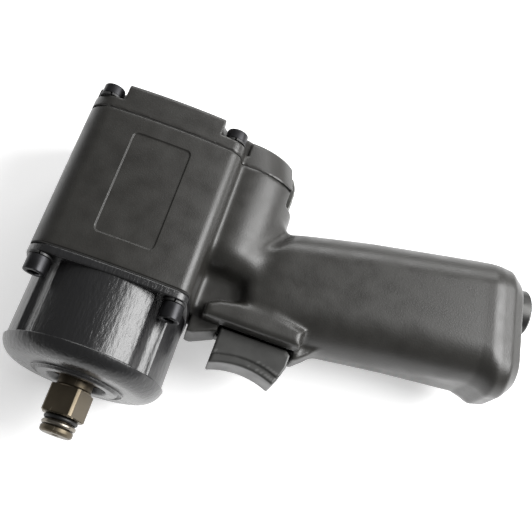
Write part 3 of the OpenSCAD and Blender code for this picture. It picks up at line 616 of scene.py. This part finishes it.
def carried_outline(stations, angles, recess=None):
    """The head's outline carried along X. Stations are (x, inset) and each ring's radius at an angle
    comes from outline_radius. recess(x, z) is how deep the sides are pressed in."""
    x, inset = np.array(stations, float).T
    radius = outline_radius(angles[None, :], inset[:, None])
    y, z = radius * np.cos(angles), radius * np.sin(angles)
    x = np.broadcast_to(x[:, None], y.shape)
    if recess is not None:
        y = y - np.sign(y) * recess(x, z) * (np.abs(y) > 24)
    return loft(x, y, z)


def even_angles(count):
    """Angles once round, evenly spaced."""
    return np.linspace(0, 2 * math.pi, count, endpoint=False)


def edge_stations(x0, x1, edge, inner):
    """Stations from x0 to x1 with a quarter-round of the given size at both ends."""
    t = np.linspace(0, math.pi / 2, 5)
    start = [(x0 + edge * (1 - math.sin(a)), edge * (1 - math.cos(a))) for a in t[::-1]]
    end = [(x1 - edge * (1 - math.sin(a)), edge * (1 - math.cos(a))) for a in t]
    return start + [(x, 0.0) for x in inner] + end


class WRENCH_OT_housing(Operator):
    """One-piece cast housing: head with plain side panels, lobe, neck, collar and grip"""
    bl_idname = "wrench.housing"
    bl_label = "Housing"

    def execute(self, context):
        depth, edge = sizes("panel_depth"), sizes("panel_edge")

        def recess(x, z):
            """Depth of a rounded rectangle with a smooth edge."""
            away = rounded_box(slab(x, -51.8, -9.8), slab(z, -11.0, 11.5), 2.0)
            t = np.clip(0.5 - away / edge, 0, 1)
            return depth * t * t * (3 - 2 * t)

        near = [np.radians(a) + np.radians(np.arange(-1.8, 1.81, 0.2)) for a in (-19.7, 20.6, 159.4, 199.7)]
        angles = np.unique(np.round(np.mod(np.concatenate([even_angles(360)] + near), 2 * math.pi), 6))
        fine = np.concatenate([np.arange(-52.8, -50.7, 0.15), np.arange(-10.8, -8.7, 0.15)])
        inner = np.unique(np.round(np.concatenate([np.arange(-57.5, -1.0, 1.8), fine]), 3))
        head = carried_outline(edge_stations(-HEAD_LEN, 0.0, sizes("head_edge"), inner), angles, recess)
        lower = net(lower_casting, (-68, -23.5, -166), (10, 23.5, -16), sizes("casting_step"))
        piece("housing_casting", [head, lower], "housing", "housing_paint", ["motor_housing"], sharp=55)
        return {"FINISHED"}


class WRENCH_OT_hammer_case(Operator):
    """Cast hammer case: flange, fluted wall, rim and round shoulder"""
    bl_idname = "wrench.hammer_case"
    bl_label = "Hammer case"

    def execute(self, context):
        flange = carried_outline(edge_stations(FLANGE_X, FLANGE_END, 0.6, [1.6, 2.6]), even_angles(360))
        angles = even_angles(480)
        wall = np.full(angles.shape, CASE_R)
        for cy in (-SCREW_Y, SCREW_Y):
            for cz in (SCREW_LOW, SCREW_TOP):
                # Near crossing of a ray at the angle with the flute's circle
                off = angles - math.atan2(cz, cy)
                reach = math.hypot(cy, cz)
                under = FLUTE_R ** 2 - (reach * np.sin(off)) ** 2
                near = reach * np.cos(off) - np.sqrt(np.maximum(under, 0))
                hit = np.where((under > 0) & (np.cos(off) > 0), near, 40)
                wall = melt(wall, hit, 0.7)
        shoulder = [(29.4 + 8 * math.sin(a), 23.3 + 8 * math.cos(a), 0) for a in np.linspace(0.32, 1.57, 14)]
        corners = [(2.8, CASE_R, 0), (30.9, CASE_R, 0.5), (30.9, 31.16, 0.3)] + shoulder + [(37.4, 18, 0.4),
                   (38.0, 18, 0.3), (38.0, 17.6, 0), (37.3, 17.2, 0.3), (37.3, 16.4, 0.3), (38.0, 15.9, 0.2),
                   (38.6, 15.4, 0.2), (38.6, 11.6, 0.8), (36.4, 10.8, 0), (36.4, 10.4, 0), (30.0, 10.4, 0)]
        x, r = softened(corners)
        along = np.linspace(3.6, 30.2, 24)
        x, r = np.concatenate([x[:1], along, x[1:]]), np.concatenate([r[:1], np.full(24, CASE_R), r[1:]])
        # The flutes act on the wall only and fade out within the last millimetre under the rim
        share = np.clip((30.95 - x) / 0.5, 0, 1)[:, None] * (r <= CASE_R + 0.1)[:, None]
        radius = r[:, None] + share * (wall - CASE_R)[None, :]
        body = loft(x[:, None], radius * np.cos(angles), radius * np.sin(angles))
        piece("hammer_case_casting", [flange, body], "housing", "case_paint", ["hammer_case"])
        return {"FINISHED"}


class WRENCH_OT_rear_cover(Operator):
    """Cast rear cover with room for its screw heads and a leaning lobe"""
    bl_idname = "wrench.rear_cover"
    bl_label = "Rear cover"

    def execute(self, context):
        cover = net(cover_field, (-72, -32.5, -58), (-57.5, 32.5, 35), 0.6)
        piece("rear_cover_casting", [cover], "housing", "housing_paint", ["rear_cover"], sharp=50)
        return {"FINISHED"}


def cap_screw(x, y, z, way, head, shank):
    """One socket cap screw: radius over distance and angle, with a hexagon that opens the head.
    The hexagon's radius is flat / cos(angle from its nearest flat)."""
    angles = even_angles(72)
    along, r = softened([(-shank, 2.3, 0), (-shank + 0.6, 2.5, 0), (0, 2.5, 0), (0, SCREW_HEAD_R, 0.15),
                         (head, SCREW_HEAD_R, 0.5), (head, 2.55, 0.1), (head - 0.35, 2.3, 0),
                         (head - 2.6, 2.3, 0)])
    hexagon = 2.0 / np.cos(np.mod(angles, math.pi / 3) - math.pi / 6)
    radius = np.where((np.arange(len(r)) >= len(r) - 2)[:, None], hexagon[None, :], r[:, None])
    return loft(x + way * along[:, None], y + radius * np.cos(angles), z + radius * np.sin(angles))


def split_washer(x, y, z, way):
    """One split spring washer: a rounded oblong section carried round 350 degrees as it climbs."""
    turn = np.radians(np.linspace(5, 355, 90))
    climb = x + way * (0.6 + 0.1 * (turn / math.pi - 1))
    middle = np.stack([climb, y + 3.5 * np.cos(turn), z + 3.5 * np.sin(turn)], -1)
    side = np.stack([0 * turn, np.cos(turn), np.sin(turn)], -1)
    up = np.tile([1.0, 0.0, 0.0], (len(turn), 1))
    section = np.array([[-0.85, -0.35], [-0.7, -0.5], [0.7, -0.5], [0.85, -0.35],
                        [0.85, 0.35], [0.7, 0.5], [-0.7, 0.5], [-0.85, 0.35]])
    return swept(middle, side, up, section)


class WRENCH_OT_fasteners(Operator):
    """Eight cap screws with their split washers"""
    bl_idname = "wrench.fasteners"
    bl_label = "Fasteners"

    def execute(self, context):
        places = [(sy * SCREW_Y, z) for sy in (-1, 1) for z in (SCREW_LOW, SCREW_TOP)]
        ends = (("front", FLANGE_END, 1, 6.0, 19.0), ("rear", COVER_STEP, -1, 3.8, 21.0))
        for end, x, way, head, shank in ends:
            screws = [cap_screw(x + way * 1.3, y, z, way, head, shank) for y, z in places]
            piece(end + "_cap_screws", screws, "housing", "black_oxide", [end + "_screws"])
            washers = [split_washer(x, y, z, way) for y, z in places]
            piece(end + "_split_washers", washers, "housing", "washer_steel", [end + "_lock_washers"])
        return {"FINISHED"}


class WRENCH_OT_drive(Operator):
    """Square drive shaft with its jaws, O-ring and socket ring"""
    bl_idname = "wrench.drive"
    bl_label = "Square drive"

    def execute(self, context):
        angles = even_angles(288)
        corners = [(-6.5, 10, 0.3), (18.4, 10, 0.3), (18.4, 9.9, 0), (36.0, 9.9, 0.5), (36.0, 6.6, 0.4),
                   (40.9, 6.6, 0.6), (41.3, SQUARE_CORNER, 0), (41.6, SQUARE_CORNER, 0),
                   (51.2, SQUARE_CORNER, 0), (GROOVE_X, 7.6, 0), (GROOVE_X, 4.6, 0.3), (TIP_X, 4.6, 0.3),
                   (TIP_X, 6.2, 0.25), (57.8, 6.2, 0.4), (TIP_END, 5.5, 0.2), (TIP_END, 1.5, 0.2),
                   (58.1, 1.3, 0), (55.6, 1.3, 0)]
        x, r = softened([(-6.5, 3.0, 0)] + corners)
        # More rings along the square, set in before its front end
        first = int(np.argmax(x > 50.0))
        more = np.linspace(42.2, 51.0, 12)
        x = np.concatenate([x[:first], more, x[first:]])
        r = np.concatenate([r[:first], np.full(12, SQUARE_CORNER), r[first:]])
        radius = np.broadcast_to(r[:, None], (len(x), len(angles))).copy()
        # Square: half the width over the greater of |cos| and |sin|, its corners rounded off
        turned = angles - math.radians(23)
        flat = SQUARE_HALF / np.maximum(np.abs(np.cos(turned)), np.abs(np.sin(turned)))
        share = np.clip((x - 40.8) / 0.4, 0, 1)[:, None] * (x < GROOVE_X - 0.01)[:, None]
        squared = np.minimum(flat, SQUARE_CORNER)
        radius = np.minimum(radius, radius * (1 - share) + squared[None, :] * share)
        # Jaws: a bar joined with the round shaft
        bar = np.minimum(JAW_REACH, JAW_HALF / np.maximum(np.abs(np.sin(angles)), 1e-6))
        jaws = ((x > -6.4) & (x < 17.6) & (r > 9))[:, None]
        radius = np.where(jaws, np.maximum(radius, bar[None, :]), radius)
        shaft = loft(x[:, None], radius * np.cos(angles), radius * np.sin(angles))
        piece("square_drive_shaft", [shaft], "anvil", "drive_steel", ["anvil"], sharp=30)
        t = even_angles(20)
        turn = np.linspace(0, 2 * math.pi, 97)
        flat_up = np.tile([1.0, 0.0, 0.0], (len(turn), 1))
        side = np.stack([0 * turn, np.cos(turn), np.sin(turn)], -1)
        ring = np.stack([0 * turn + GROOVE_X + 1.0, 5.55 * np.cos(turn), 5.55 * np.sin(turn)], -1)
        seal = swept(ring, side, flat_up, 0.88 * np.stack([np.cos(t), np.sin(t)], -1))
        piece("socket_seal", [seal], "anvil", "rubber_black", ["socket_o_ring"])
        turn = np.linspace(0.12, 2 * math.pi - 0.12, 97) + math.pi / 2
        side = np.stack([0 * turn, np.cos(turn), np.sin(turn)], -1)
        ring = np.stack([0 * turn + GROOVE_X + 3.1, 5.6 * np.cos(turn), 5.6 * np.sin(turn)], -1)
        wire = np.clip(0.94 * np.stack([np.cos(t), np.sin(t)], -1), -0.9, 0.9)
        spring = swept(ring, side, flat_up, wire)
        piece("socket_ring", [spring], "anvil", "ring_steel", ["socket_retainer_ring"])
        return {"FINISHED"}


class WRENCH_OT_controls(Operator):
    """Trigger with a hollowed finger face, and the reverse lever with its thumb grooves"""
    bl_idname = "wrench.controls"
    bl_label = "Trigger and lever"

    def execute(self, context):
        step = sizes("small_step")
        finger = net(trigger_field, (0.5, -9, -74), (19, 9, -41), step)
        piece("finger_trigger", [finger], "trigger", "trigger_plastic", ["trigger"], sharp=50)
        thumb = net(lever_field, (-71.5, -13, -57), (-52, 13, -24), step)
        piece("thumb_lever", [thumb], "reverse", "lever_metal", ["reverse_lever"], sharp=50)
        return {"FINISHED"}


class WRENCH_OT_grip_base(Operator):
    """Air inlet bushing with its thread, and the slotted exhaust deflector"""
    bl_idname = "wrench.grip_base"
    bl_label = "Grip base"

    def execute(self, context):
        angles = even_angles(96)
        pitch = 25.4 / 18
        corners = [(141.2, 4.6, 0), (141.2, INLET_R, 0.4), (164.6, INLET_R, 0.2), (INLET_END, 8.7, 0.2),
                   (INLET_END, 6.6, 0.2), (164.9, 5.9, 0)]
        w, r = softened(corners)
        thread = np.arange(164.8, 153.6, -pitch / 8)
        w = np.concatenate([w, thread, [153.5, 141.3]])
        radius = np.broadcast_to(np.concatenate([r, np.full(len(thread), 5.7), [4.6, 4.6]])[:, None],
                                 (len(w), len(angles))).copy()
        # Thread: a triangle wave of the distance along plus one pitch per turn
        phase = np.mod(w[:, None] / pitch + angles[None, :] / (2 * math.pi), 1)
        ridge = 0.45 * (np.abs(2 * phase - 1) - 0.5)
        inner = ((w > 153.6) & (np.arange(len(w)) >= len(r)))[:, None]
        radius = np.where(inner, radius + ridge, radius)
        u = INLET_U + radius * np.cos(angles)
        bushing = loft(*from_grip(u, radius * np.sin(angles), np.broadcast_to(w[:, None], u.shape)))
        piece("air_inlet_bushing", [bushing], "housing", "inlet_steel", ["inlet_bushing"])

        def plate_field(x, y, z):
            """The deflector's field read in the grip's coordinates."""
            u, w = to_grip(x, z)
            return deflector_field(u, y, w)

        plate = net(plate_field, (-60, -14, -165), (-12, 14, -148), 0.45)
        piece("exhaust_plate", [plate], "housing", "deflector_plastic", ["exhaust_deflector"], sharp=50)
        return {"FINISHED"}


class WRENCH_OT_kept_nodes(Operator):
    """Finishes for the CAD pieces that keep their own shape: gaskets, motor, hammers and valves"""
    bl_idname = "wrench.kept_nodes"
    bl_label = "Inner pieces"

    def execute(self, context):
        for row in frame["record"]["subparts"]:
            node = frame["nodes"][row["node"]]
            node.data.materials.clear()
            node.data.materials.append(finish(row["material_slot"]))
        return {"FINISHED"}


class WRENCH_OT_stage(Operator):
    """Camera, plain pale floor and soft studio light"""
    bl_idname = "wrench.stage"
    bl_label = "Stage"

    def execute(self, context):
        scene = context.scene
        half = scene.wrench_sizes.floor_size / 2
        low = CAD_BOX[0][2]
        mesh = bpy.data.meshes.new("studio_floor")
        edges = ((-half, -half), (half, -half), (half, half), (-half, half))
        mesh.from_pydata([(x, y, low) for x, y in edges], [], [(0, 1, 2, 3)])
        floor = bpy.data.objects.new("studio_floor", mesh)
        scene.collection.objects.link(floor)
        pale = bpy.data.materials.new("pale_floor")
        pale.use_nodes = True
        shader = pale.node_tree.nodes["Principled BSDF"]
        shader.inputs["Base Color"].default_value = (*scene.wrench_finishes.floor, 1)
        shader.inputs["Roughness"].default_value = 0.9
        shader.inputs["Specular IOR Level"].default_value = 0.1
        shader.inputs["Emission Color"].default_value = (1, 1, 1, 1)
        shader.inputs["Emission Strength"].default_value = 0.45
        mesh.materials.append(pale)
        lens = bpy.data.cameras.new("studio_camera")
        lens.lens, lens.sensor_width = 57.1527, 36.0
        camera = bpy.data.objects.new("studio_camera", lens)
        camera.matrix_world = Matrix(((-0.30092, -0.883904, 0.357995, 0.049073),
                                      (0.939803, -0.338599, -0.046045, 0.036967),
                                      (0.161917, 0.322589, 0.932587, 0.316047), (0, 0, 0, 1)))
        scene.collection.objects.link(camera)
        scene.camera = camera
        world = bpy.data.worlds.new("studio_world")
        scene.world = world
        world.use_nodes = True
        world.node_tree.nodes["Background"].inputs[0].default_value = (1, 1, 1, 1)
        world.node_tree.nodes["Background"].inputs[1].default_value = 0.2
        # Softboxes: name, place, point aimed at, width, height, power
        boxes = (("key", (-0.2, 0.55, 0.5), (-0.03, 0.03, 0), 0.5, 0.5, 9.5),
                 ("rim", (-0.7, 0.05, 0.38), (-0.05, 0.06, 0), 0.6, 0.25, 3.0))
        for name, place, aim, wide, tall, power in boxes:
            lamp = bpy.data.lights.new(name, "AREA")
            lamp.shape, lamp.size, lamp.size_y, lamp.energy = "RECTANGLE", wide, tall, power
            holder = bpy.data.objects.new(name, lamp)
            back = np.array(place) - np.array(aim)
            back /= np.linalg.norm(back)
            right = np.cross((0, 0, 1), back)
            right /= np.linalg.norm(right)
            up = np.cross(back, right)
            turned = np.eye(4)
            turned[:3, :3] = np.stack([right, up, back], -1)
            turned[:3, 3] = place
            holder.matrix_world = Matrix(turned.tolist())
            scene.collection.objects.link(holder)
        scene.view_settings.view_transform = "Standard"
        return {"FINISHED"}


class WRENCH_PT_panel(Panel):
    """Lists the wrench's sizes, colours and pieces"""
    bl_idname = "WRENCH_PT_panel"
    bl_label = "Air impact wrench"
    bl_space_type = "VIEW_3D"
    bl_region_type = "UI"
    bl_category = "Wrench"

    def draw(self, context):
        for group in (context.scene.wrench_sizes, context.scene.wrench_finishes):
            for name in group.__annotations__:
                self.layout.prop(group, name)
        for step in STEPS:
            self.layout.operator(step.bl_idname)


STEPS = (WRENCH_OT_stage, WRENCH_OT_kept_nodes, WRENCH_OT_housing, WRENCH_OT_hammer_case,
         WRENCH_OT_rear_cover, WRENCH_OT_fasteners, WRENCH_OT_drive, WRENCH_OT_controls,
         WRENCH_OT_grip_base)
CLASSES = (WrenchSizes, WrenchFinishes, WRENCH_PT_panel) + STEPS


def register():
    """Registers the classes and hangs the settings on the scene."""
    for kind in CLASSES:
        bpy.utils.register_class(kind)
    bpy.types.Scene.wrench_sizes = PointerProperty(type=WrenchSizes)
    bpy.types.Scene.wrench_finishes = PointerProperty(type=WrenchFinishes)


def unregister():
    """Takes the settings off the scene and the classes out."""
    del bpy.types.Scene.wrench_finishes
    del bpy.types.Scene.wrench_sizes
    for kind in reversed(CLASSES):
        bpy.utils.unregister_class(kind)


def main():
    """Builds everything in order."""
    register()
    bpy.ops.wrench.stage()
    bpy.ops.wrench.kept_nodes()
    bpy.ops.wrench.housing()
    bpy.ops.wrench.hammer_case()
    bpy.ops.wrench.rear_cover()
    bpy.ops.wrench.fasteners()
    bpy.ops.wrench.drive()
    bpy.ops.wrench.controls()
    bpy.ops.wrench.grip_base()


if __name__ == "__main__":
    main()
